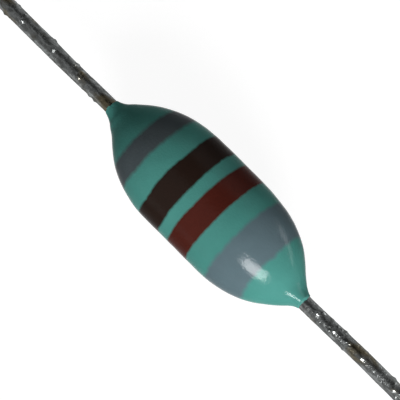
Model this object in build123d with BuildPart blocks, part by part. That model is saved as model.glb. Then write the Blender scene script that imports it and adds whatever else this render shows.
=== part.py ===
from build123d import *
from math import acos, atan, cos, degrees, floor, hypot, radians, sin
import os

# Axial inductor, in millimetres. The leads and the body lie on X, and the origin is the body's centre.
# The start end, beside the wide first-digit band, is towards +X. The finish end is its half turn about Z.

# Lead wires, each with a squeezed stretch inside the coat that locks it in the resin
lead_diameter = 0.60
lead_free_length = 28.0
lead_tip_chamfer = 0.08
anchor_length = 0.60
anchor_thickness = 0.42
anchor_width = 0.66
anchor_cover = 0.35  # resin along the lead from the squeezed stretch to the coat's end

# Ferrite drum: a post between two flanges, with a blind hole in each end for the lead
core_length = 6.0
flange_diameter = 3.0
flange_thickness = 0.8
flange_rim_chamfer = 0.10
post_diameter = 1.5
lead_hole_depth = 1.25
cement_thickness = 0.08
cement_pad = 0.15

# Notch in each flange, on top, that lets the wire out of the winding window
notch_rise = 0.05  # from the coil's surface up to the notch's floor
notch_play = 0.24  # how much wider the notch is than the wire

# Enamelled wire: close-wound layers on the post and on each lead, under a film of varnish
wire_diameter = 0.12
wire_sides = 8  # of the tails' section, few because the wire is so thin
coil_layers = 3
lead_wrap_layers = 2
lead_wrap_turns = 3
varnish_film = 0.02
wire_gap = 0.05  # left between the wire or the coil and what it passes

# Solder round each wrapped lead
solder_cover = 0.12
solder_run_out = 0.28

# Dipped epoxy coat
coat_thickness = 0.57  # over the flanges, at the barrel
shoulder_setback = 1.6  # from the flange's face back to where the barrel starts to round off
shoulder_radius = 4.6
flank_length = 0.50
meniscus_radius = 1.0
coat_edge_thickness = 0.035

# Printed colour bands, counted from the start end: the gap before each one, and its width
ink_thickness = 0.02
first_digit_gap = 1.75
first_digit_width = 1.60
second_digit_gap = 0.89
second_digit_width = 1.06
multiplier_gap = 0.47
multiplier_width = 1.11
tolerance_gap = 0.90
tolerance_width = 0.95

# Radii and stations on the core and the leads
lead_radius = lead_diameter / 2
flange_radius = flange_diameter / 2
post_radius = post_diameter / 2
lead_hole_radius = lead_radius + cement_thickness
core_end = core_length / 2
window_end = core_end - flange_thickness
lead_hole_floor = core_end - lead_hole_depth
wire_radius = wire_diameter / 2

# The wire's route: off the coil at a tangent, through the notch, and in to the wraps at a tangent
coil_bore_radius = post_radius + varnish_film
coil_radius = coil_bore_radius + coil_layers * wire_diameter + varnish_film
coil_end = window_end - wire_gap
leave_coil_radius = coil_radius - varnish_film - wire_radius
leave_coil_x = coil_end - varnish_film - wire_radius
notch_floor = coil_radius + notch_rise
notch_width = wire_diameter + notch_play
route_radius = notch_floor + wire_gap + wire_radius
wrap_start = core_end + wire_gap
wrap_end = wrap_start + lead_wrap_turns * wire_diameter + 2 * varnish_film
wrap_radius = lead_radius + lead_wrap_layers * wire_diameter + varnish_film
meet_wrap_radius = wrap_radius - varnish_film - wire_radius
leave_coil_angle = degrees(acos(leave_coil_radius / route_radius))
meet_wrap_angle = degrees(acos(meet_wrap_radius / route_radius))
coil_turns = coil_layers * floor((2 * coil_end - 2 * varnish_film) / wire_diameter)

# Solder bead, seated on the flange's face
solder_radius = wrap_radius + solder_cover
solder_end = wrap_end + solder_run_out

# The coat's outline from barrel to lead: shoulder arc, straight flank, concave meniscus.
# The flank's angle is the one at which the three together drop from the barrel to the lead.
barrel_radius = flange_radius + coat_thickness
barrel_end = core_end - shoulder_setback
arc_radii = shoulder_radius + meniscus_radius
drop_left = arc_radii - (barrel_radius - lead_radius)
flank_angle = degrees(acos(drop_left / hypot(arc_radii, flank_length)) - atan(flank_length / arc_radii))
edge_angle = degrees(acos(1 - coat_edge_thickness / meniscus_radius))
coat_end = (
    barrel_end
    + arc_radii * sin(radians(flank_angle))
    + flank_length * cos(radians(flank_angle))
    - meniscus_radius * sin(radians(edge_angle))
)
anchor_end = coat_end - anchor_cover
anchor_start = anchor_end - anchor_length


def polar(x, radius, angle):
    """Point at x along the axis, at a radius and an angle from +Y towards +Z."""
    return Vector(x, radius * cos(radians(angle)), radius * sin(radians(angle)))


os.makedirs("parts", exist_ok=True)

# Drum core
with BuildPart() as drum_core:
    with BuildSketch() as core_section:
        Rectangle(core_length, flange_radius, align=(Align.CENTER, Align.MIN))
        with Locations((0, post_radius)):
            Rectangle(2 * window_end, flange_radius, align=(Align.CENTER, Align.MIN), mode=Mode.SUBTRACT)
        rims = core_section.vertices().group_by(Axis.Y)[-1].sort_by(Axis.X)
        chamfer([rims[0], rims[-1]], flange_rim_chamfer)  # the outer rims, where the coat is thinnest
    revolve(axis=Axis.X)
    with Locations(Plane.YZ.offset(core_end), Plane.ZY.offset(core_end)):
        Hole(lead_hole_radius, depth=lead_hole_depth)
    with BuildSketch(Plane.YZ):
        with Locations((0, notch_floor + notch_width / 2)):
            Circle(notch_width / 2)
            Rectangle(notch_width, flange_radius, align=(Align.CENTER, Align.MIN))
    extrude(amount=core_end, both=True, mode=Mode.SUBTRACT)
drum_core.part.label = "drum_core"
export_step(drum_core.part, "parts/drum_core.step")

# Winding: the close-wound layers on the post and on each lead, and the wire that runs between them
with BuildPart() as start_tail:
    with BuildLine() as tail_route:
        Polyline(
            polar(leave_coil_x, leave_coil_radius, 90 - leave_coil_angle),
            polar(leave_coil_x, route_radius, 90),
            polar(wrap_start + wire_radius, route_radius, 90),
            polar(wrap_start + wire_diameter, meet_wrap_radius, 90 + meet_wrap_angle),
        )
    with BuildSketch(Plane(origin=tail_route.line @ 0, z_dir=tail_route.line % 0)):
        RegularPolygon(wire_radius, wire_sides)
    sweep(path=tail_route.line, transition=Transition.RIGHT)

with BuildPart() as winding:
    with BuildSketch() as layers_section:
        with Locations((0, coil_bore_radius)):
            Rectangle(2 * coil_end, coil_radius - coil_bore_radius, align=(Align.CENTER, Align.MIN))
        with Locations((wrap_start, lead_radius)):
            Rectangle(wrap_end - wrap_start, wrap_radius - lead_radius, align=(Align.MIN, Align.MIN))
        with Locations((-wrap_start, lead_radius)):
            Rectangle(wrap_end - wrap_start, wrap_radius - lead_radius, align=(Align.MAX, Align.MIN))
    revolve(axis=Axis.X)
    add([start_tail.part, start_tail.part.rotate(Axis.Z, 180)])
winding.part.label = "winding"
export_step(winding.part, "parts/winding.step")
print("coil turns", coil_turns)

# Leads, from the cement pad inside the core to the snipped tips
with BuildPart() as lead_start:
    with BuildSketch(Plane.YZ.offset(lead_hole_floor + cement_pad)):
        Circle(lead_radius)
    extrude(amount=anchor_start - lead_hole_floor - cement_pad)
    with BuildSketch(Plane.YZ.offset(anchor_start)):
        Rectangle(anchor_width, anchor_thickness)
    extrude(amount=anchor_length)
    with BuildSketch(Plane.YZ.offset(anchor_end)):
        Circle(lead_radius)
    extrude(amount=coat_end + lead_free_length - anchor_end)
    chamfer(lead_start.edges().sort_by(Axis.X)[-1], lead_tip_chamfer)
lead_start.part.label = "lead_start"
export_step(lead_start.part, "parts/lead_start.step")

with BuildPart() as lead_finish:
    add(lead_start.part.rotate(Axis.Z, 180))
lead_finish.part.label = "lead_finish"
export_step(lead_finish.part, "parts/lead_finish.step")

# Cement that fills each lead hole behind and round its lead
with BuildPart() as cement_start:
    with BuildSketch(Plane.YZ.offset(lead_hole_floor)):
        Circle(lead_hole_radius)
    extrude(amount=lead_hole_depth)
    add(lead_start.part, mode=Mode.SUBTRACT)
cement_start.part.label = "cement_start"
export_step(cement_start.part, "parts/cement_start.step")

with BuildPart() as cement_finish:
    add(cement_start.part.rotate(Axis.Z, 180))
cement_finish.part.label = "cement_finish"
export_step(cement_finish.part, "parts/cement_finish.step")

# Solder beads, full over the wraps and running out to nothing along the lead
with BuildPart() as solder_start:
    with BuildSketch() as bead_section:
        with BuildLine():
            Polyline(
                (core_end, 0),
                (core_end, solder_radius),
                (wrap_end, solder_radius),
                (solder_end, lead_radius),
                (solder_end, 0),
                close=True,
            )
        make_face()
    revolve(axis=Axis.X)
    add([lead_start.part, winding.part], mode=Mode.SUBTRACT)
solder_start.part.label = "solder_start"
export_step(solder_start.part, "parts/solder_start.step")

with BuildPart() as solder_finish:
    add(solder_start.part.rotate(Axis.Z, 180))
solder_finish.part.label = "solder_finish"
export_step(solder_finish.part, "parts/solder_finish.step")

# Epoxy coat: it fills the window round the coil, the notches, and every gap out to its own skin
with BuildPart() as coating:
    with BuildSketch() as coat_section:
        with BuildLine():
            barrel = Line((0, barrel_radius), (barrel_end, barrel_radius))
            shoulder = JernArc(barrel @ 1, barrel % 1, shoulder_radius, -flank_angle)
            flank = PolarLine(shoulder @ 1, flank_length, direction=shoulder % 1)
            meniscus = JernArc(flank @ 1, flank % 1, meniscus_radius, flank_angle - edge_angle)
            Line(meniscus @ 1, (coat_end, 0))
            mirror(about=Plane.YZ)
            Line((-coat_end, 0), (coat_end, 0))
        make_face()
    revolve(axis=Axis.X)
    with BuildSketch(Plane.YZ):
        Circle(coil_radius + varnish_film)
    extrude(amount=window_end, both=True, mode=Mode.SUBTRACT)
    add([drum_core.part, cement_start.part, cement_finish.part], mode=Mode.SUBTRACT)
    add([lead_start.part, lead_finish.part, solder_start.part, solder_finish.part], mode=Mode.SUBTRACT)
    add(winding.part, mode=Mode.SUBTRACT)
coating.part.label = "coating"
export_step(coating.part, "parts/coating.step")

# Colour bands, printed on the coat
bands = {
    "band_first_digit": (first_digit_gap, first_digit_width),
    "band_second_digit": (second_digit_gap, second_digit_width),
    "band_multiplier": (multiplier_gap, multiplier_width),
    "band_tolerance": (tolerance_gap, tolerance_width),
}
band_edge = coat_end
for band_name, (gap, width) in bands.items():
    band_edge -= gap + width
    with BuildPart() as band:
        with BuildSketch():
            add(coat_section.sketch)
            offset(amount=ink_thickness)
            add(coat_section.sketch, mode=Mode.SUBTRACT)
            with Locations((band_edge, 0)):
                Rectangle(width, 2 * barrel_radius, align=(Align.MIN, Align.MIN), mode=Mode.INTERSECT)
        revolve(axis=Axis.X)
    band.part.label = band_name
    export_step(band.part, f"parts/{band_name}.step")
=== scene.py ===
"""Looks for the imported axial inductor: a dipped coat of teal epoxy with four printed bands, on tinned leads.

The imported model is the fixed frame. The coat, the bands and the leads are drawn finer than their solids
and stand for them. The parts inside the coat keep their solids and are given finishes.
Sizes are in millimetres here and become metres where a mesh is made. The leads lie on X.
"""

import logging
import math
from collections.abc import Callable
from dataclasses import dataclass, field
from enum import Enum

import bpy
import numpy as np
from bpy.types import ID, Material, Node, NodeSocket, NodeTree, Object
from mathutils import Matrix, Vector


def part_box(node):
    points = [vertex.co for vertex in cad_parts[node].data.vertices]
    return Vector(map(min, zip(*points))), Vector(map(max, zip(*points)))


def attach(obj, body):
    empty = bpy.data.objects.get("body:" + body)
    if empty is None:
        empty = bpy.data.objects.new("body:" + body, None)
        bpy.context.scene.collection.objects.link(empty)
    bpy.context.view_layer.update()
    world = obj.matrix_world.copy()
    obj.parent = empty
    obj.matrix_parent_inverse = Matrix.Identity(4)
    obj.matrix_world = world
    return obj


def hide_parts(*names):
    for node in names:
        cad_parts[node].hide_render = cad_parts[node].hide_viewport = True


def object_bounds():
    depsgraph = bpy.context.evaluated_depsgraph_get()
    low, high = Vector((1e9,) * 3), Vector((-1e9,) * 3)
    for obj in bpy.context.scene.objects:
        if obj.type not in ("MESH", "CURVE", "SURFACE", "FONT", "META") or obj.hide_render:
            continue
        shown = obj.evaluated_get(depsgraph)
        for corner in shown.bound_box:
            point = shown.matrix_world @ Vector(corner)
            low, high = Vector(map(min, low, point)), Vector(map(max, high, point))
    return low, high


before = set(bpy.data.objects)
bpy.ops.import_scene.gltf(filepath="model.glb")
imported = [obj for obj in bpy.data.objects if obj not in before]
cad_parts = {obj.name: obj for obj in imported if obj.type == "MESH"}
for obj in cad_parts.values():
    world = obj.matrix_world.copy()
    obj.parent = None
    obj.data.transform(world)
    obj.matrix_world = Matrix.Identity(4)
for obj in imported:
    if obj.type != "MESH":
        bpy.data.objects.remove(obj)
CAD_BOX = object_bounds()

log = logging.getLogger("inductor")
MM = 0.001
FLOOR_GAP = 0.002  # from the part's lowest point down to the floor
COAT_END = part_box("coating")[1].x / MM
LEAD_ROOT, LEAD_TIP = (corner.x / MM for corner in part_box("lead_start"))
SIDEWAYS = (0.987, 0.161)  # the way, in Y and Z, that the shoulders and the leads stand off the axis
SHARE, FIRST, SECOND, MIXED = 0, 6, 7, 2  # a colour Mix node's sockets, which only their numbers tell apart
Colour = tuple[float, float, float, float]
Pair = tuple[float, float]


class End(Enum):
    """The two ends of the part, by the sign of their place on X."""

    START = 1
    FINISH = -1


def linear(code: str) -> Colour:
    """Turns a colour into Blender's linear values.

    Args:
        code: sRGB hex, such as "#5a9c92".

    Returns:
        Linear red, green and blue, and an alpha of 1.
    """
    parts = [int(code[i : i + 2], 16) / 255 for i in (1, 3, 5)]
    return (*(part / 12.92 if part <= 0.04045 else ((part + 0.055) / 1.055) ** 2.4 for part in parts), 1.0)


def per_mm(size: float) -> float:
    """Texture scale at which one feature measures that many millimetres."""
    return 1 / (size * MM)


def smooth_step(low: float, high: float, value: np.ndarray) -> np.ndarray:
    """Rises from 0 at low to 1 at high, as 3t^2 - 2t^3."""
    t = np.clip((value - low) / (high - low), 0, 1)
    return t * t * (3 - 2 * t)


def waves(rng: np.random.Generator, count: int, shortest: float, longest: float) -> Callable:
    """A field of plane waves added up, even in every direction.

    Each wave is the cosine of its wave vector times the place, plus a phase. The sum is divided by the
    root of the count, so its spread is about 0.7.

    Args:
        rng: seeded source of the directions, lengths and phases.
        count: number of waves.
        shortest: shortest wavelength, in mm.
        longest: longest wavelength, in mm.

    Returns:
        A function of x, y and z arrays in mm.
    """
    direction = rng.normal(size=(count, 3))
    direction /= np.linalg.norm(direction, axis=1, keepdims=True)
    vector = direction * (2 * np.pi / rng.uniform(shortest, longest, (count, 1)))
    phase = rng.uniform(0, 2 * np.pi, count)

    def height(x: np.ndarray, y: np.ndarray, z: np.ndarray) -> np.ndarray:
        """Height of the field at each point."""
        place = np.stack(np.broadcast_arrays(x, y, z), -1)
        return np.cos(place @ vector.T + phase).sum(-1) / math.sqrt(count)

    return height


def ring_wave(rng: np.random.Generator, orders: range, fall: float) -> Callable:
    """A closed wave round the axis: a sum of cosines of whole orders, which die away with the order.

    Each cosine's weight is random, times its order to the power of minus fall.

    Args:
        rng: seeded source of the phases and weights.
        orders: the whole numbers of waves in one turn.
        fall: how fast the higher orders die away.

    Returns:
        A function of the angle, with a spread of about 1.
    """
    order = np.array(list(orders), float)
    weight = rng.normal(size=len(order)) * order**-fall
    weight /= np.sqrt((weight**2).sum() / 2)
    phase = rng.uniform(0, 2 * np.pi, len(order))
    return lambda angle: (weight * np.cos(np.multiply.outer(angle, order) + phase)).sum(-1)


def put(name: str, data: ID) -> Object:
    """Puts a new object in the scene.

    Args:
        name: the object's name.
        data: its mesh, lamp or camera.

    Returns:
        The object.
    """
    thing = bpy.data.objects.new(name, data)
    bpy.context.scene.collection.objects.link(thing)
    return thing


def grid_piece(
    name: str,
    points: np.ndarray,
    closed: bool = False,
    poles: np.ndarray | None = None,
    crease: float = 40.0,
) -> Object:
    """Makes a mesh from rings of points.

    Point (i, j) is the j-th of ring i. The rings close on themselves. Each face joins (i, j), (i, j+1),
    (i+1, j+1) and (i+1, j), so it faces outward where the rings turn from +Y to +Z and step towards +X.
    A pole joins all of its ring by triangles.

    Args:
        name: the object's name.
        points: array of rings, points and xyz, in mm.
        closed: joins the last ring to the first.
        poles: a point that closes the first ring and one that closes the last, in mm.
        crease: edges that turn by more than this many degrees stay sharp.

    Returns:
        The object, with a UV map: u round the ring, v along the rings.
    """
    rings, around = points.shape[:2]
    i = np.arange(rings if closed else rings - 1)[:, None]
    j = np.arange(around)[None, :]
    corners_i = np.stack([i + 0 * j, i + 0 * j, i + 1 + 0 * j, i + 1 + 0 * j], -1)
    corners_j = np.stack([j + 0 * i, j + 1 + 0 * i, j + 1 + 0 * i, j + 0 * i], -1)
    quads = (corners_i % rings) * around + corners_j % around
    uv = np.stack([corners_j / around, corners_i / (rings if closed else rings - 1)], -1).reshape(-1, 2)
    verts = points.reshape(-1, 3)
    faces = quads.reshape(-1, 4).tolist()
    if poles is not None:
        first, last = len(verts), len(verts) + 1
        verts = np.vstack([verts, poles])
        k = np.arange(around)
        ring = (rings - 1) * around
        start = np.stack([np.full(around, first), (k + 1) % around, k], -1)
        end = np.stack([np.full(around, last), ring + k, ring + (k + 1) % around], -1)
        faces += start.tolist() + end.tolist()
        start_uv = np.stack([np.stack([k + 0.5, k + 1, k], -1) / around, np.zeros((around, 3))], -1)
        end_uv = np.stack([np.stack([k + 0.5, k, k + 1], -1) / around, np.ones((around, 3))], -1)
        uv = np.vstack([uv, start_uv.reshape(-1, 2), end_uv.reshape(-1, 2)])
    mesh = bpy.data.meshes.new(name)
    mesh.from_pydata((verts * MM).tolist(), [], faces)
    mesh.uv_layers.new(name="Surface").data.foreach_set("uv", uv.astype(np.float32).ravel())
    mesh.polygons.foreach_set("use_smooth", np.ones(len(mesh.polygons), bool))
    mesh.set_sharp_from_angle(angle=math.radians(crease))
    mesh.update()
    return put(name, mesh)


def polar_points(x: np.ndarray, radius: np.ndarray, angle: np.ndarray) -> np.ndarray:
    """Points at x, at a radius from X and an angle from +Y towards +Z."""
    return np.stack(np.broadcast_arrays(x, radius * np.cos(angle), radius * np.sin(angle)), -1)


def turn(count: int) -> np.ndarray:
    """Angles of one ring, evenly spaced, without the last that meets the first."""
    return np.arange(count) * (2 * np.pi / count)


def add(tree: NodeTree, kind: str, links: dict | None = None, **settings: object) -> Node:
    """Adds a shader node.

    Args:
        tree: the material's or the world's node tree.
        kind: the node's type without "ShaderNode" before it, such as "Math".
        links: for each input's name or number, a value, or the output socket that feeds it.
        settings: the node's own properties.

    Returns:
        The node.
    """
    node = tree.nodes.new(f"ShaderNode{kind}")
    for name, value in settings.items():
        setattr(node, name, value)
    for key, value in (links or {}).items():
        if isinstance(value, NodeSocket):
            tree.links.new(value, node.inputs[key])
        else:
            node.inputs[key].default_value = value
    return node


def new_tree(name: str) -> tuple[Material, NodeTree, NodeSocket]:
    """Starts a material.

    Args:
        name: the material's name.

    Returns:
        The material, its tree, which holds only an output node, and that node's Surface socket.
    """
    material = bpy.data.materials.new(name)
    material.use_nodes = True
    tree = material.node_tree
    tree.nodes.clear()
    return material, tree, add(tree, "OutputMaterial").inputs["Surface"]


@dataclass(frozen=True)
class DippedEpoxy:
    """Glossy epoxy, dipped and cured: flows out nearly flat, so it mirrors lamps, with a faint orange peel
    that frays the edge of a highlight, and a pigment that clouds a little. Its outline stays dark, so the
    gloss falls off where the skin turns away from the eye."""

    colour: str = "#5aa89e"
    cloud: str = "#55a197"
    cloud_size: float = 1.1
    cloud_range: Pair = (0.35, 0.7)
    roughness: float = 0.13
    ior: float = 1.22
    gloss: float = 0.5
    edge_gloss: float = 0.035
    edge_reach: Pair = (0.14, 0.42)
    peel_size: float = 0.10
    peel_height: float = 0.0085
    grain_size: float = 0.05
    grain_share: float = 0.1

    def pigment(self, tree: NodeTree, place: NodeSocket) -> NodeSocket:
        """The resin's clouded colour.

        Args:
            tree: the material's node tree.
            place: the place in the piece's own axes.

        Returns:
            The colour at each place.
        """
        low, high = self.cloud_range
        clouds = add(tree, "TexNoise", {"Vector": place, "Scale": per_mm(self.cloud_size), "Detail": 3.0})
        share = add(tree, "MapRange", {"Value": clouds.outputs["Fac"], "From Min": low, "From Max": high})
        return add(
            tree,
            "Mix",
            {SHARE: share.outputs["Result"], FIRST: linear(self.colour), SECOND: linear(self.cloud)},
            data_type="RGBA",
        ).outputs[MIXED]

    def skin(self, tree: NodeTree, place: NodeSocket, colour: NodeSocket) -> NodeSocket:
        """The resin's gloss and orange peel over a colour.

        Args:
            tree: the material's node tree.
            place: the place in the piece's own axes.
            colour: the colour under the gloss.

        Returns:
            The shader.
        """
        peel = add(tree, "TexNoise", {"Vector": place, "Scale": per_mm(self.peel_size), "Detail": 1.0})
        grain = add(tree, "TexNoise", {"Vector": place, "Scale": per_mm(self.grain_size), "Detail": 2.0})
        height = add(
            tree,
            "Math",
            {0: grain.outputs["Fac"], 1: self.grain_share, 2: peel.outputs["Fac"]},
            operation="MULTIPLY_ADD",
        ).outputs["Value"]
        bump = add(tree, "Bump", {"Height": height, "Distance": self.peel_height * MM})
        low, high = self.edge_reach
        gloss = add(
            tree,
            "MapRange",
            {
                "Value": add(tree, "LayerWeight", {"Blend": 0.5}).outputs["Facing"],
                "From Min": low,
                "From Max": high,
                "To Min": self.gloss,
                "To Max": self.edge_gloss,
            },
            interpolation_type="SMOOTHSTEP",
        )
        return add(
            tree,
            "BsdfPrincipled",
            {
                "Base Color": colour,
                "Roughness": self.roughness,
                "IOR": self.ior,
                "Specular IOR Level": gloss.outputs["Result"],
                "Normal": bump.outputs["Normal"],
            },
        ).outputs["BSDF"]

    def build(self) -> Material:
        """Makes the finish.

        Returns:
            The material.
        """
        material, tree, surface = new_tree("dipped_epoxy_teal")
        place = add(tree, "TexCoord").outputs["Object"]
        tree.links.new(self.skin(tree, place, self.pigment(tree, place)), surface)
        return material


@dataclass(frozen=True)
class PrintedInk:
    """Ink rolled on the cured coat: a thin even film, as glossy as the coat under it, that lets the coat
    show through where it feathers out at its two edges."""

    name: str
    colour: str
    thin_colour: str
    feather: float = 0.16
    fade_middle: float = 0.3  # the fade's middle, its width and its raggedness are shares of the feather
    fade_width: float = 0.6
    ragged: float = 0.35
    speckle_size: float = 0.22
    tone_size: float = 0.8
    resin: DippedEpoxy = DippedEpoxy()

    def build(self, width: float) -> Material:
        """Makes the finish.

        The distance to the nearer edge is the lesser of v and 1 - v. A speckle of 0 to 1, a half on average,
        is taken from it by the share that is ragged. The ink's cover then rises from none to full over the
        fade, which is set back by that half.

        Args:
            width: the band's width, in mm.

        Returns:
            The material, for a piece whose UV map has v across the band.
        """
        material, tree, surface = new_tree(self.name)
        coords = add(tree, "TexCoord")
        place = coords.outputs["Object"]
        across = add(tree, "SeparateXYZ", {"Vector": coords.outputs["UV"]}).outputs["Y"]
        mirror = add(tree, "Math", {0: 1.0, 1: across}, operation="SUBTRACT").outputs["Value"]
        inset = add(tree, "Math", {0: across, 1: mirror}, operation="MINIMUM").outputs["Value"]
        speckle = add(tree, "TexNoise", {"Vector": place, "Scale": per_mm(self.speckle_size), "Detail": 2.0})
        reach = self.feather / width
        ragged = self.ragged * reach
        frayed = add(
            tree, "Math", {0: speckle.outputs["Fac"], 1: -ragged, 2: inset}, operation="MULTIPLY_ADD"
        ).outputs["Value"]
        fade_start = (self.fade_middle - self.fade_width / 2) * reach - ragged / 2
        cover = add(
            tree,
            "MapRange",
            {"Value": frayed, "From Min": fade_start, "From Max": fade_start + self.fade_width * reach},
        )
        tone = add(tree, "TexNoise", {"Vector": place, "Scale": per_mm(self.tone_size), "Detail": 3.0})
        body = add(
            tree,
            "Mix",
            {SHARE: tone.outputs["Fac"], FIRST: linear(self.colour), SECOND: linear(self.thin_colour)},
            data_type="RGBA",
        )
        colour = add(
            tree,
            "Mix",
            {
                SHARE: cover.outputs["Result"],
                FIRST: self.resin.pigment(tree, place),
                SECOND: body.outputs[MIXED],
            },
            data_type="RGBA",
        )
        tree.links.new(self.resin.skin(tree, place, colour.outputs[MIXED]), surface)
        return material


@dataclass(frozen=True)
class TinnedWire:
    """Copper wire dipped in tin and gone dull: a grey metal with blotches, brown flux stains and pits that
    glint. The blotches and stains are drawn out along the wire by the die and the dip, and the duller
    blotches are also the rougher ones."""

    bright: str = "#8f9292"
    dull: str = "#5f6160"
    stain: str = "#67604f"
    edge: str = "#9a9a9a"
    blotch_size: float = 0.12
    blotch_range: Pair = (0.40, 0.60)
    flux_size: float = 0.55
    flux_range: Pair = (0.53, 0.68)
    roughness: Pair = (0.16, 0.38)
    rough_range: Pair = (0.3, 0.7)
    drawn_shift: float = 1.1
    drawn_scale: float = 0.45
    pit_size: float = 0.10
    pit_height: float = 0.022

    def build(self) -> Material:
        """Makes the finish.

        Returns:
            The material.
        """
        material, tree, surface = new_tree("tinned_copper_dull")
        place = add(tree, "TexCoord").outputs["Object"]
        drawn = add(
            tree,
            "Mapping",
            {
                "Vector": place,
                "Location": (self.drawn_shift * MM, 0.0, 0.0),
                "Scale": (self.drawn_scale, 1.0, 1.0),
            },
        ).outputs["Vector"]
        blotch = add(
            tree,
            "TexNoise",
            {"Vector": drawn, "Scale": per_mm(self.blotch_size), "Detail": 4.0, "Roughness": 0.65},
        )
        low, high = self.blotch_range
        share = add(tree, "MapRange", {"Value": blotch.outputs["Fac"], "From Min": low, "From Max": high})
        metal = add(
            tree,
            "Mix",
            {SHARE: share.outputs["Result"], FIRST: linear(self.bright), SECOND: linear(self.dull)},
            data_type="RGBA",
        )
        flux = add(tree, "TexNoise", {"Vector": drawn, "Scale": per_mm(self.flux_size), "Detail": 2.0})
        low, high = self.flux_range
        stained = add(tree, "MapRange", {"Value": flux.outputs["Fac"], "From Min": low, "From Max": high})
        colour = add(
            tree,
            "Mix",
            {SHARE: stained.outputs["Result"], FIRST: metal.outputs[MIXED], SECOND: linear(self.stain)},
            data_type="RGBA",
        )
        rough = add(
            tree,
            "MapRange",
            {
                "Value": blotch.outputs["Fac"],
                "From Min": self.rough_range[0],
                "From Max": self.rough_range[1],
                "To Min": self.roughness[0],
                "To Max": self.roughness[1],
            },
        )
        pits = add(
            tree,
            "TexNoise",
            {"Vector": place, "Scale": per_mm(self.pit_size), "Detail": 2.0, "Roughness": 0.6},
        )
        bump = add(tree, "Bump", {"Height": pits.outputs["Fac"], "Distance": self.pit_height * MM})
        shader = add(
            tree,
            "BsdfPrincipled",
            {
                "Base Color": colour.outputs[MIXED],
                "Metallic": 1.0,
                "Specular Tint": linear(self.edge),
                "Roughness": rough.outputs["Result"],
                "Normal": bump.outputs["Normal"],
            },
        )
        tree.links.new(shader.outputs["BSDF"], surface)
        return material


@dataclass(frozen=True)
class HiddenFinish:
    """Finish of a part inside the coat: one colour that turns to a second by patches of a real size."""

    name: str
    colour: str
    patch: str
    patch_size: float
    roughness: float
    metallic: float = 0.0
    stretch: tuple[float, float, float] = (1.0, 1.0, 1.0)
    bump: float = 0.004

    def build(self) -> Material:
        """Makes the finish.

        Returns:
            The material.
        """
        material, tree, surface = new_tree(self.name)
        place = add(tree, "TexCoord").outputs["Object"]
        drawn = add(tree, "Mapping", {"Vector": place, "Scale": self.stretch}).outputs["Vector"]
        noise = add(tree, "TexNoise", {"Vector": drawn, "Scale": per_mm(self.patch_size), "Detail": 3.0})
        colour = add(
            tree,
            "Mix",
            {SHARE: noise.outputs["Fac"], FIRST: linear(self.colour), SECOND: linear(self.patch)},
            data_type="RGBA",
        )
        bump = add(tree, "Bump", {"Height": noise.outputs["Fac"], "Distance": self.bump * MM})
        shader = add(
            tree,
            "BsdfPrincipled",
            {
                "Base Color": colour.outputs[MIXED],
                "Metallic": self.metallic,
                "Roughness": self.roughness,
                "Normal": bump.outputs["Normal"],
            },
        )
        tree.links.new(shader.outputs["BSDF"], surface)
        return material


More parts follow.
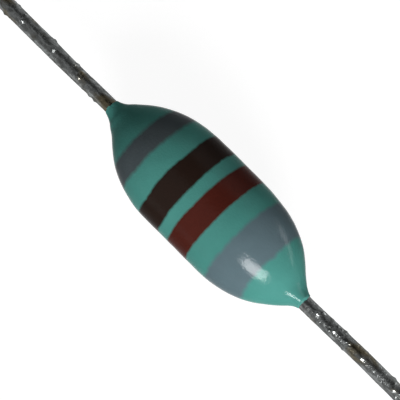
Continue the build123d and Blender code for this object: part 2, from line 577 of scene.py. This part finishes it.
@dataclass
class LeadWire:
    """One lead: round wire with a squeezed stretch inside the coat, tin on its free length and a snipped tip.

    The first fields are the solid's own sizes. Then come the wire's bend, which swings back and goes
    straight by distances from the coat's end, and its sag. The tin has ripples, grains and blobs, each
    with its spread and height. The last fields set how fine the mesh is."""

    end: End
    seed: int
    radius: float = 0.30
    inner_end: float = LEAD_ROOT
    coat_end: float = COAT_END
    tip: float = LEAD_TIP
    tip_chamfer: float = 0.08
    anchor_cover: float = 0.35
    anchor_length: float = 0.60
    anchor_width: float = 0.66
    anchor_thickness: float = 0.42
    anchor_edge: float = 0.03
    anchor_end: float = field(init=False)
    anchor_start: float = field(init=False)

    offset_direction: Pair = SIDEWAYS
    exit_offset: float = 0.05
    far_offset: float = -0.012
    swing_out: float = 1.5
    swing_back: float = 3.6
    straighten: Pair = (4.0, 9.0)
    sag: float = 0.0
    sag_angle: float = 2.98
    sag_rise: Pair = (6.5, 9.5)

    ripple_count: int = 24
    ripple_length: Pair = (0.35, 1.4)
    ripple_drawn: float = 0.6
    ripple_height: float = 0.0035
    grains_per_mm: float = 26.0
    grain_spread: Pair = (0.025, 0.045)
    grain_height: float = 0.0075
    blobs_per_mm: float = 3.0
    blob_spread: Pair = (0.04, 0.08)
    blob_steepness: Pair = (0.5, 0.75)
    spot_reach: float = 4.0  # in spreads
    tin_start: float = 0.1

    around: int = 88
    margin: float = 0.04
    straight_rings: int = 12
    edge_rings: int = 6
    close_up: float = 13.0
    close_step: float = 0.024
    far_step: float = 0.06

    def __post_init__(self) -> None:
        """Works out where the squeezed stretch lies."""
        self.anchor_end = self.coat_end - self.anchor_cover
        self.anchor_start = self.anchor_end - self.anchor_length

    def centre(self, x: np.ndarray) -> np.ndarray:
        """The wire's own line, off the part's axis: it swings out towards the coat's end, which the coat
        follows, and back again over the next few millimetres.

        Args:
            x: distance from the part's middle.

        Returns:
            Offsets in y and z, in mm, along a last axis.
        """
        past = x - self.coat_end
        out = smooth_step(self.anchor_end - self.swing_out, self.coat_end, x)
        back = smooth_step(0, self.swing_back, past)
        straight = 1 - smooth_step(*self.straighten, past)
        offset = self.exit_offset * out * (1 - back) + self.far_offset * back * straight
        return -self.end.value * offset[..., None] * np.array(self.offset_direction)

    def section(self, x: np.ndarray, angle: np.ndarray) -> np.ndarray:
        """Radius of the bare wire: a circle, or in the squeezed stretch a rectangle, at which the radius is
        the lesser of half the width over the cosine and half the thickness over the sine.

        Args:
            x: distance from the part's middle.
            angle: angle round the wire.

        Returns:
            Radius, in mm.
        """
        never_zero = 1e-9
        cosine, sine = np.abs(np.cos(angle)) + never_zero, np.abs(np.sin(angle)) + never_zero
        flat = np.minimum(self.anchor_width / 2 / cosine, self.anchor_thickness / 2 / sine)
        starts = smooth_step(self.anchor_start - self.anchor_edge, self.anchor_start + self.anchor_edge, x)
        ends = smooth_step(self.anchor_end - self.anchor_edge, self.anchor_end + self.anchor_edge, x)
        return self.radius + (flat - self.radius) * starts * (1 - ends)

    def tin(self, x: np.ndarray, angle: np.ndarray) -> np.ndarray:
        """Height of the tin on the wire.

        Soft ripples, many small grains and pits, and a few broad blobs. Each grain and blob is a Gaussian of
        its distance from its centre. On a lead that sags, the tin also ran down to one side, which is
        thicker by the cosine of the angle from that side.

        Args:
            x: distance from the part's middle.
            angle: angle round the wire.

        Returns:
            Height over the bare wire, in mm.
        """
        rng = np.random.default_rng(self.seed)
        along = np.broadcast_to(x, np.broadcast(x, angle).shape)
        ripples = waves(rng, self.ripple_count, *self.ripple_length)
        across = self.radius * np.cos(angle), self.radius * np.sin(angle)
        height = self.ripple_height * ripples(along * self.ripple_drawn, *across)
        free = self.tip - self.coat_end
        grains, blobs = round(self.grains_per_mm * free), round(self.blobs_per_mm * free)
        centre_x = self.coat_end + free * rng.random(grains + blobs)
        centre_angle = rng.uniform(0, 2 * np.pi, grains + blobs)
        spread = np.append(rng.uniform(*self.grain_spread, grains), rng.uniform(*self.blob_spread, blobs))
        grain_heights = rng.normal(0, self.grain_height, grains)
        blob_heights = spread[grains:] * rng.uniform(*self.blob_steepness, blobs)
        heights = np.append(grain_heights, blob_heights)
        for spot_x, spot_angle, sigma, rise in zip(centre_x, centre_angle, spread, heights):
            near = np.abs(x[:, 0] - spot_x) < self.spot_reach * sigma
            if near.any():
                turned = (angle - spot_angle + np.pi) % (2 * np.pi) - np.pi
                apart = (x[near] - spot_x) ** 2 + (self.radius * turned) ** 2
                height[near] += rise * np.exp(-apart / (2 * sigma**2))
        sagging = np.maximum(0, np.cos(angle - self.sag_angle)) * smooth_step(*self.sag_rise, along)
        tinned = smooth_step(self.coat_end - self.tin_start, self.coat_end + self.tin_start, along)
        return self.sag * sagging + height * tinned

    def rings(self) -> np.ndarray:
        """Places the mesh's rings: close together at the squeezed stretch's edges and near the coat.

        Returns:
            Distances from the part's middle, in mm.
        """
        before, after = self.anchor_start - self.margin, self.anchor_start + self.margin
        inner, outer = self.anchor_end - self.margin, self.anchor_end + self.margin
        spans = [
            np.linspace(self.inner_end, before, self.straight_rings),
            np.linspace(before, after, self.edge_rings),
            np.linspace(inner, outer, self.edge_rings),
            np.linspace(outer, self.coat_end - self.tin_start, self.edge_rings),
        ]
        close = np.arange(self.coat_end - 2 * self.margin, self.close_up, self.close_step)
        far = np.arange(self.close_up, self.tip - self.tip_chamfer, self.far_step)
        return np.concatenate([np.unique(np.concatenate(spans)), close, far, [self.tip - self.tip_chamfer]])

    def build(self) -> Object:
        """Makes the lead's mesh, from the blind hole to the tip.

        Returns:
            The lead.
        """
        x = self.rings()[:, None]
        angle = turn(self.around)[None, :]
        radius = self.section(x, angle) + self.tin(x, angle)
        snipped = radius[-1:] - self.tip_chamfer
        stations = np.vstack([np.broadcast_to(x, radius.shape), np.full((1, self.around), self.tip)])
        points = polar_points(stations, np.vstack([radius, snipped]), angle)
        poles = np.array([[self.inner_end, 0, 0], [self.tip, 0, 0]])
        if self.end is End.FINISH:
            points[..., :2] *= -1
            poles[:, 0] *= -1
        points[..., 1:] += self.centre(stations)
        piece = grid_piece(f"tinned_lead_{self.end.name.lower()}", points, poles=poles)
        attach(piece, "root")
        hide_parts(f"lead_{self.end.name.lower()}")
        return piece


def by_end(start: object, finish: object) -> object:
    """A dataclass field that holds one value for each end."""
    return field(default_factory=lambda: {End.START: start, End.FINISH: finish})


@dataclass(frozen=True)
class Hump:
    """Where the coat ran a little fuller or leaner: its station, the side along the lean's direction, how
    far it stands out and how far it reaches along X."""

    station: float
    side: int
    rise: float
    reach: float


@dataclass
class DippedCoat:
    """The epoxy coat. Its outline is a barrel, a shoulder arc, a straight flank and a hollow arc down to a
    feather edge on the lead. The two shoulders sit a little off the leads' line, to opposite sides.

    A rise, a fall or a calm names the distances from the middle between which something grows or dies
    away. The sizes of the solder, the core and the coil are those of the solids in the coat's hollow."""

    leads: dict[End, LeadWire]
    barrel_radius: float = 2.085
    barrel_end: float = 1.4
    shoulder_radius: float = 4.6
    flank_length: float = 0.50
    meniscus_radius: float = 1.0
    edge_thickness: float = 0.03

    lean: float = 0.075
    lean_direction: Pair = SIDEWAYS
    lean_rise: Pair = (1.6, 4.3)
    lean_fall: Pair = (4.4, 5.2)
    humps: tuple[Hump, ...] = (
        Hump(-0.5, 1, 0.012, 0.8),
        Hump(1.95, 1, -0.045, 0.6),
        Hump(3.8, 1, 0.038, 0.55),
        Hump(-3.5, -1, 0.034, 0.7),
        Hump(4.3, -1, -0.038, 0.35),
    )
    peel: float = 0.0016
    peel_length: Pair = (0.35, 0.9)
    peel_waves: int = 48
    swell: float = 0.008
    swell_length: Pair = (3.0, 7.0)
    swell_waves: int = 10
    calm: Pair = (4.3, 5.1)
    drip: float = 0.24
    drip_angle: float = 1.82
    drip_spread: float = 0.65
    drip_rise: Pair = (4.42, 5.15)
    drip_fall: float = 5.22
    fillet: dict[End, float] = by_end(0.0, 0.05)
    fillet_station: float = 4.85
    fillet_reach: float = 0.25
    run: dict[End, float] = by_end(-0.04, 0.08)
    run_start: float = 4.9
    creep: dict[End, float] = by_end(0.008, 0.018)
    creep_orders: dict[End, range] = by_end(range(2, 12), range(1, 9))
    creep_fall: dict[End, float] = by_end(0.8, 1.2)

    solder_end: float = 3.73
    solder_radius: float = 0.68
    wrap_end: float = 3.45
    core_end: float = 3.0
    flange_radius: float = 1.5
    rim_chamfer: float = 0.10
    window_end: float = 2.2
    coil_radius: float = 1.17

    around: int = 200
    along: int = 300
    outline_steps: tuple[int, int, int] = (240, 30, 80)
    bore_span: Pair = (5.0, 3.9)
    bore_rings: int = 39
    seed: int = 11

    bore: float = field(init=False)
    flank_angle: float = field(init=False)
    edge_angle: float = field(init=False)
    peel_field: Callable = field(init=False)
    swell_field: Callable = field(init=False)
    edge_waves: dict[End, Callable] = field(init=False)

    def __post_init__(self) -> None:
        """Works out the angles of the outline and draws the random fields once."""
        arcs = self.shoulder_radius + self.meniscus_radius
        self.bore = self.leads[End.START].radius
        left = arcs - (self.barrel_radius - self.bore)
        diagonal = math.hypot(arcs, self.flank_length)
        self.flank_angle = math.acos(left / diagonal) - math.atan(self.flank_length / arcs)
        self.edge_angle = math.acos(1 - self.edge_thickness / self.meniscus_radius)
        rng = np.random.default_rng(self.seed)
        self.peel_field = waves(rng, self.peel_waves, *self.peel_length)
        self.swell_field = waves(rng, self.swell_waves, *self.swell_length)
        self.edge_waves = {end: ring_wave(rng, self.creep_orders[end], self.creep_fall[end]) for end in End}

    def outline(self) -> tuple[np.ndarray, np.ndarray]:
        """One end's outline, from the middle to the feather edge, closely spaced.

        Returns:
            Its stations and its radii, in mm.
        """
        shoulder_steps, flank_steps, meniscus_steps = self.outline_steps
        turned = np.linspace(0, self.flank_angle, shoulder_steps)
        x = np.append(0.0, self.barrel_end + self.shoulder_radius * np.sin(turned))
        shoulder = self.barrel_radius - self.shoulder_radius * (1 - np.cos(turned))
        radius = np.append(self.barrel_radius, shoulder)
        down = np.linspace(0, self.flank_length, flank_steps)[1:]
        x = np.append(x, x[-1] + down * math.cos(self.flank_angle))
        radius = np.append(radius, radius[-1] - down * math.sin(self.flank_angle))
        back = np.linspace(self.flank_angle, self.edge_angle, meniscus_steps)[1:]
        centre_x = x[-1] + self.meniscus_radius * math.sin(self.flank_angle)
        centre_radius = radius[-1] + self.meniscus_radius * math.cos(self.flank_angle)
        x = np.append(x, centre_x - self.meniscus_radius * np.sin(back))
        radius = np.append(radius, centre_radius - self.meniscus_radius * np.cos(back))
        return x, radius

    def skin(self, x: np.ndarray, angle: np.ndarray) -> np.ndarray:
        """Points of the outer surface.

        The outline's radius at |x|, plus a slow swell, a fine peel and the humps, which are Gaussians of the
        station times the cosine of the angle from their side. One end has a fuller fillet, and the other a
        drip that ran down one side of it. The centre moves sideways at the shoulders and joins the lead's
        own line. The feather edge runs out along the lead by a wave of the angle.

        Args:
            x: stations, in mm.
            angle: angles from +Y towards +Z.

        Returns:
            Points, in mm.
        """
        x, angle = np.broadcast_arrays(x, angle)
        line_x, line_r = self.outline()
        far = np.abs(x)
        edge = line_x[-1]
        radius = np.interp(far, line_x, line_r)
        place = np.moveaxis(polar_points(x, radius, angle), -1, 0)
        uneven = self.swell * self.swell_field(*place) + self.peel * self.peel_field(*place)
        radius = radius + uneven * (1 - smooth_step(*self.calm, far))
        toward = math.atan2(self.lean_direction[1], self.lean_direction[0])
        for hump in self.humps:
            facing = np.maximum(0, hump.side * np.cos(angle - toward))
            radius = radius + hump.rise * facing * np.exp(-(((x - hump.station) / hump.reach) ** 2))
        ridge = np.exp(-(((angle - self.drip_angle) / self.drip_spread) ** 2)) * (x > 0)
        standing = smooth_step(*self.drip_rise, far) * (1 - smooth_step(self.drip_fall, edge, far))
        radius = radius + self.drip * ridge * standing
        near_lead = np.exp(-(((far - self.fillet_station) / self.fillet_reach) ** 2))
        leaning = smooth_step(*self.lean_rise, far) * (1 - smooth_step(*self.lean_fall, far))
        side = -np.sign(x) * self.lean * leaning
        shift = side[..., None] * np.array(self.lean_direction)
        run = np.zeros_like(x)
        for end, lead in self.leads.items():
            here = x * end.value > 0
            radius = radius + np.where(here, self.fillet[end] * near_lead, 0)
            shift = shift + np.where(here[..., None], lead.centre(far), 0)
            run = run + np.where(here, self.run[end] + self.creep[end] * self.edge_waves[end](angle), 0)
        points = polar_points(x, radius, angle)
        points[..., 1:] += shift
        points[..., 0] += np.sign(x) * run * smooth_step(self.run_start, edge, far)
        return points

    def normal(self, x: np.ndarray, angle: np.ndarray) -> np.ndarray:
        """Outward normals of the skin: the cross product of its steps round the ring and along X.

        Args:
            x: stations, in mm.
            angle: angles from +Y towards +Z.

        Returns:
            Unit vectors, along a last axis.
        """
        step = 0.01
        round_ring = self.skin(x, angle + step) - self.skin(x, angle - step)
        along = self.skin(x + step, angle) - self.skin(x - step, angle)
        out = np.cross(round_ring, along)
        return out / np.linalg.norm(out, axis=-1, keepdims=True)

    def hollow(self) -> np.ndarray:
        """The walls round the solder, the core and the coil, from the lead inwards.

        Returns:
            A row of station and radius for each corner, in mm.
        """
        return np.array(
            [
                (self.solder_end, self.bore),
                (self.wrap_end, self.solder_radius),
                (self.core_end, self.solder_radius),
                (self.core_end, self.flange_radius - self.rim_chamfer),
                (self.core_end - self.rim_chamfer, self.flange_radius),
                (self.window_end, self.flange_radius),
                (self.window_end, self.coil_radius),
            ]
        )

    def build(self) -> Object:
        """Makes the coat's mesh: the skin from the finish end to the start end, then back along the hollow
        that holds the leads, the solder, the core and the coil. The hollow's mouth follows the feather edge.

        Returns:
            The coat.
        """
        line_x, line_r = self.outline()
        length = np.append(0, np.cumsum(np.hypot(np.diff(line_x), np.diff(line_r))))
        half = np.interp(np.linspace(0, length[-1], self.along // 2), length, line_x)
        x = np.concatenate([-half[:0:-1], half])[:, None]
        angle = turn(self.around)[None, :]
        outer = self.skin(x, angle)
        hollow_x, hollow_r = self.hollow().T
        bore_x = np.append(line_x[-1], np.linspace(*self.bore_span, self.bore_rings))
        stations = np.append(bore_x, hollow_x)[:, None]
        wall = np.append(np.full(len(bore_x), self.bore), hollow_r)[:, None]
        inner = []
        for end, lead in self.leads.items():
            radius = wall + lead.section(stations, angle) - self.bore
            points = polar_points(stations * end.value, radius, angle)
            points[..., 1:] += lead.centre(stations)
            points[0, :, 0] = outer[-1 if end is End.START else 0, :, 0]
            inner.append(points[:: end.value])
        piece = grid_piece("teal_coat", np.concatenate([outer, *inner]), closed=True)
        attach(piece, "root")
        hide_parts("coating")
        return piece


@dataclass
class InkBand:
    """One printed band: a thin ring of ink on the skin, thickest between its edges, which waver.

    Its place on X is its solid's. Each edge may lie a little off the solid's, and each is slanted by the
    cosine of the angle from its own direction."""

    node: str
    slot: str
    ink: PrintedInk
    seed: int
    off_solid: Pair = (0.0, 0.0)
    slant: Pair = (0.04, 0.04)
    slant_angle: Pair = (0.16, 0.16)
    bare_share: float = 0.1
    thickness: float = 0.003
    edge: float = 0.001
    sunk: float = 0.004
    taper: float = 0.16
    waver: float = 0.026
    waver_orders: range = range(1, 40)
    waver_fall: float = 1.15
    around: int = 320
    across: int = 36
    under_rings: int = 8

    low: float = field(init=False)
    high: float = field(init=False)
    width: float = field(init=False)

    def __post_init__(self) -> None:
        """Takes the band's place and width from its solid."""
        self.low, self.high = (corner.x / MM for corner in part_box(self.node))
        self.width = self.high - self.low

    def build(self, coat: DippedCoat) -> Object:
        """Makes the band's mesh.

        Each ring of points runs from one wavy edge to the other over the skin, raised along its normal,
        and a second surface just under the skin closes it.

        Args:
            coat: the coat that carries the band.

        Returns:
            The band. Its UV map has v from 0 to 1 over the skin, and 1 under it.
        """
        rng = np.random.default_rng(self.seed)
        angle = turn(self.around)[None, :]
        low_edge, high_edge = (
            ring_wave(rng, self.waver_orders, self.waver_fall)(angle[0]) * self.waver
            + slant * np.cos(angle[0] - way)
            + off
            for slant, way, off in zip(self.slant, self.slant_angle, self.off_solid)
        )
        bare = self.ink.feather * self.bare_share
        low, high = self.low + low_edge - bare, self.high + high_edge + bare
        share = np.linspace(0, 1, self.across)[:, None]
        x = low + share * (high - low)
        inset = np.minimum(x - low, high - x)
        lift = self.edge + (self.thickness - self.edge) * smooth_step(0, self.taper, inset)
        top = coat.skin(x, angle) + coat.normal(x, angle) * lift[..., None]
        under_x = low + np.linspace(1, 0, self.under_rings)[:, None] * (high - low)
        under = coat.skin(under_x, angle) - coat.normal(under_x, angle) * self.sunk
        piece = grid_piece(f"ink_{self.node}", np.concatenate([top, under]), closed=True)
        layer = piece.data.uv_layers[0].data
        uv = np.empty((len(layer), 2), np.float32)
        layer.foreach_get("uv", uv.ravel())
        rings = self.across + self.under_rings
        uv[:, 1] = np.clip(uv[:, 1] * rings / (self.across - 1), 0, 1)
        layer.foreach_set("uv", uv.ravel())
        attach(piece, "root")
        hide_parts(self.node)
        return piece


def seen_rays(tree: NodeTree) -> NodeSocket:
    """Tells by which rays a thing is seen.

    Args:
        tree: the material's or the world's node tree.

    Returns:
        1 for camera, mirror and clear rays, and 0 for the rest.
    """
    rays = add(tree, "LightPath").outputs
    seen = add(
        tree, "Math", {0: rays["Is Camera Ray"], 1: rays["Is Glossy Ray"]}, operation="MAXIMUM"
    ).outputs["Value"]
    return add(tree, "Math", {0: seen, 1: rays["Is Transmission Ray"]}, operation="MAXIMUM").outputs["Value"]


@dataclass(frozen=True)
class Softbox:
    """A lamp behind cloth: its direction from the part, its size, how far it is rolled in degrees and how
    bright its face is. It lights matt surfaces if shine is set, and is mirrored if sparkle is set."""

    name: str
    direction: tuple[float, float, float]
    width: float
    height: float
    radiance: float
    roll: float = 0.0
    distance: float = 500.0
    shine: bool = True
    sparkle: bool = True

    def build(self) -> Object:
        """Makes the lamp. Its power is pi times the face's area times its radiance.

        Returns:
            The lamp.
        """
        data = bpy.data.lights.new(self.name, "AREA")
        data.shape = "RECTANGLE"
        data.size, data.size_y = self.width * MM, self.height * MM
        data.energy = math.pi * data.size * data.size_y * self.radiance
        lamp = put(self.name, data)
        way = Vector(self.direction).normalized()
        facing = way.to_track_quat("Z", "Y").to_matrix().to_4x4()
        turned = Matrix.Rotation(math.radians(self.roll), 4, "Z")
        lamp.matrix_world = Matrix.Translation(way * self.distance * MM) @ facing @ turned
        lamp.visible_camera = False
        lamp.visible_diffuse = self.shine
        lamp.visible_glossy = self.sparkle
        return lamp


@dataclass
class Studio:
    """Pale floor, soft lamps, a dim room and the camera.

    The key and the fill light the part, and the key's face and the card are what its gloss mirrors."""

    floor_height: float
    floor_side: float = 3000.0
    floor_colour: str = "#8a8a8a"
    floor_lift: float = 0.92
    ambient: str = "#5c5c5c"
    wall: str = "#a4a4a4"
    overhead: str = "#343434"
    overhead_direction: tuple[float, float, float] = (-0.17, 0.27, 0.95)
    overhead_reach: Pair = (0.86, 0.975)
    azimuth: float = 45.63
    elevation: float = 76.78
    distance: float = 57.37
    right_shift: float = 0.295
    down_shift: float = 0.161
    lens: float = 135.0
    sensor_width: float = 36.0
    clip: Pair = (1.0, 10000.0)
    lamps: tuple[Softbox, ...] = (
        Softbox("key_softbox", (0.72, -0.53, 0.45), 220, 220, 14.0, sparkle=False),
        Softbox("key_softbox_face", (0.614, -0.548, 0.571), 198, 242, 36.0, roll=44, shine=False),
        Softbox("fill_softbox", (0.55, 0.78, 0.30), 220, 220, 1.35, sparkle=False),
        Softbox("rim_card", (0.53, 0.848, 0.0), 330, 200, 7.0, shine=False),
    )

    def floor(self) -> Object:
        """Makes the floor: matt and pale, and lifted to white for camera, mirror and clear rays alone, so
        that a shadow still darkens it.

        Returns:
            The floor.
        """
        half = self.floor_side / 2
        corners = np.array([[-half, -half], [half, -half], [half, half], [-half, half]])
        mesh = bpy.data.meshes.new("floor")
        verts = np.column_stack([corners, np.full(4, self.floor_height)]) * MM
        mesh.from_pydata(verts.tolist(), [], [(0, 1, 2, 3)])
        plane = put("floor", mesh)
        material, tree, surface = new_tree("floor_paper")
        lift = add(
            tree, "Math", {0: seen_rays(tree), 1: self.floor_lift}, operation="MULTIPLY"
        ).outputs["Value"]
        matt = add(tree, "BsdfDiffuse", {"Color": linear(self.floor_colour)})
        glow = add(tree, "Emission", {"Strength": lift})
        both = add(tree, "AddShader", {0: matt.outputs["BSDF"], 1: glow.outputs["Emission"]})
        tree.links.new(both.outputs["Shader"], surface)
        mesh.materials.append(material)
        return plane

    def room(self) -> None:
        """Makes the room: an even dim light, and for camera, mirror and clear rays pale walls with a dark
        patch overhead, where the camera and the ceiling are."""
        world = bpy.data.worlds.new("room")
        bpy.context.scene.world = world
        world.use_nodes = True
        tree = world.node_tree
        tree.nodes.clear()
        way = add(tree, "TexCoord").outputs["Generated"]
        patch = Vector(self.overhead_direction).normalized()
        toward = add(tree, "VectorMath", {0: way, 1: patch}, operation="DOT_PRODUCT").outputs["Value"]
        low, high = self.overhead_reach
        share = add(
            tree,
            "MapRange",
            {"Value": toward, "From Min": low, "From Max": high},
            interpolation_type="SMOOTHSTEP",
        ).outputs["Result"]
        walls = add(
            tree,
            "Mix",
            {SHARE: share, FIRST: linear(self.wall), SECOND: linear(self.overhead)},
            data_type="RGBA",
        ).outputs[MIXED]
        colour = add(
            tree,
            "Mix",
            {SHARE: seen_rays(tree), FIRST: linear(self.ambient), SECOND: walls},
            data_type="RGBA",
        ).outputs[MIXED]
        light = add(tree, "Background", {"Color": colour})
        out = add(tree, "OutputWorld")
        tree.links.new(light.outputs["Background"], out.inputs["Surface"])

    def camera(self) -> Object:
        """Makes the camera: level, above the part and off to its side, as far off as the photograph's.

        Returns:
            The camera.
        """
        azimuth, elevation = math.radians(self.azimuth), math.radians(self.elevation)
        right = Vector((math.cos(azimuth), math.sin(azimuth), 0))
        back = Vector(
            (
                math.sin(azimuth) * math.cos(elevation),
                -math.cos(azimuth) * math.cos(elevation),
                math.sin(elevation),
            )
        )
        up = back.cross(right)
        place = (back * self.distance - right * self.right_shift + up * self.down_shift) * MM
        data = bpy.data.cameras.new("camera")
        data.lens, data.sensor_width = self.lens, self.sensor_width
        data.clip_start, data.clip_end = (limit * MM for limit in self.clip)
        camera = put("camera", data)
        camera.matrix_world = Matrix.Translation(place) @ Matrix((right, up, back)).transposed().to_4x4()
        bpy.context.scene.camera = camera
        return camera

    def build(self) -> None:
        """Makes the whole studio."""
        self.floor()
        self.room()
        for lamp in self.lamps:
            lamp.build()
        self.camera()
        bpy.context.scene.view_settings.view_transform = "Standard"


BANDS = (
    InkBand(
        "band_first_digit",
        "ink_slate_grey",
        PrintedInk("ink_slate_grey", "#6f878f", "#677c84", feather=0.26),
        seed=21,
        off_solid=(-0.019, 0.011),
        slant=(0.04, 0.112),
        slant_angle=(0.16, -1.876),
        bare_share=0.18,
    ),
    InkBand("band_second_digit", "ink_dark_red", PrintedInk("ink_dark_red", "#5e2920", "#55241c"), seed=22),
    InkBand("band_multiplier", "ink_black", PrintedInk("ink_black", "#33241e", "#2b201a"), seed=23),
    InkBand(
        "band_tolerance",
        "ink_dull_silver",
        PrintedInk("ink_dull_silver", "#5d686c", "#535d61", feather=0.26),
        seed=24,
        slant=(0.05, 0.05),
        bare_share=0.18,
    ),
)

# Each finish inside the coat, with the nodes that wear it
HIDDEN = {
    # Fired ferrite: dark grey, matt and fine-grained
    HiddenFinish("sintered_ferrite", "#2b2b2e", "#3a3a3c", patch_size=0.05, roughness=0.7): ("drum_core",),
    # Copper under clear enamel: amber and glossy, drawn out round the coil
    HiddenFinish(
        "enamelled_copper_wire",
        "#b4622f",
        "#8a3f1c",
        patch_size=0.12,
        roughness=0.25,
        metallic=1.0,
        stretch=(1.0, 0.1, 0.1),
    ): ("winding",),
    # Tin solder, flowed and cooled: a satin metal with soft patches
    HiddenFinish("soft_solder", "#b9bbbc", "#9a9c9d", patch_size=0.2, roughness=0.3, metallic=1.0): (
        "solder_start",
        "solder_finish",
    ),
    # Filled epoxy cement: cream and matt
    HiddenFinish("lead_cement", "#cfc6ae", "#b8ad92", patch_size=0.08, roughness=0.8): (
        "cement_start",
        "cement_finish",
    ),
}


def dress(piece: Object, material: Material) -> None:
    """Gives a piece or a CAD node one material, and reports it.

    Args:
        piece: the object to dress.
        material: the material that it wears.
    """
    piece.data.materials.clear()
    piece.data.materials.append(material)
    log.info("%s: %d faces, %s", piece.name, len(piece.data.polygons), material.name)


def main() -> None:
    """Builds the studio and the pieces."""
    logging.basicConfig(level=logging.INFO, format="%(message)s")
    Studio(floor_height=CAD_BOX[0][2] / MM - FLOOR_GAP).build()
    tin = TinnedWire().build()
    leads = {
        End.START: LeadWire(End.START, seed=57),
        End.FINISH: LeadWire(End.FINISH, seed=55, sag=0.045),
    }
    for lead in leads.values():
        dress(lead.build(), tin)
    coat = DippedCoat(leads)
    dress(coat.build(), DippedEpoxy().build())
    for band in BANDS:
        dress(band.build(coat), band.ink.build(band.width))
    for finish, nodes in HIDDEN.items():
        material = finish.build()
        for node in nodes:
            dress(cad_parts[node], material)
    bpy.context.view_layer.update()


if __name__ == "__main__":
    main()
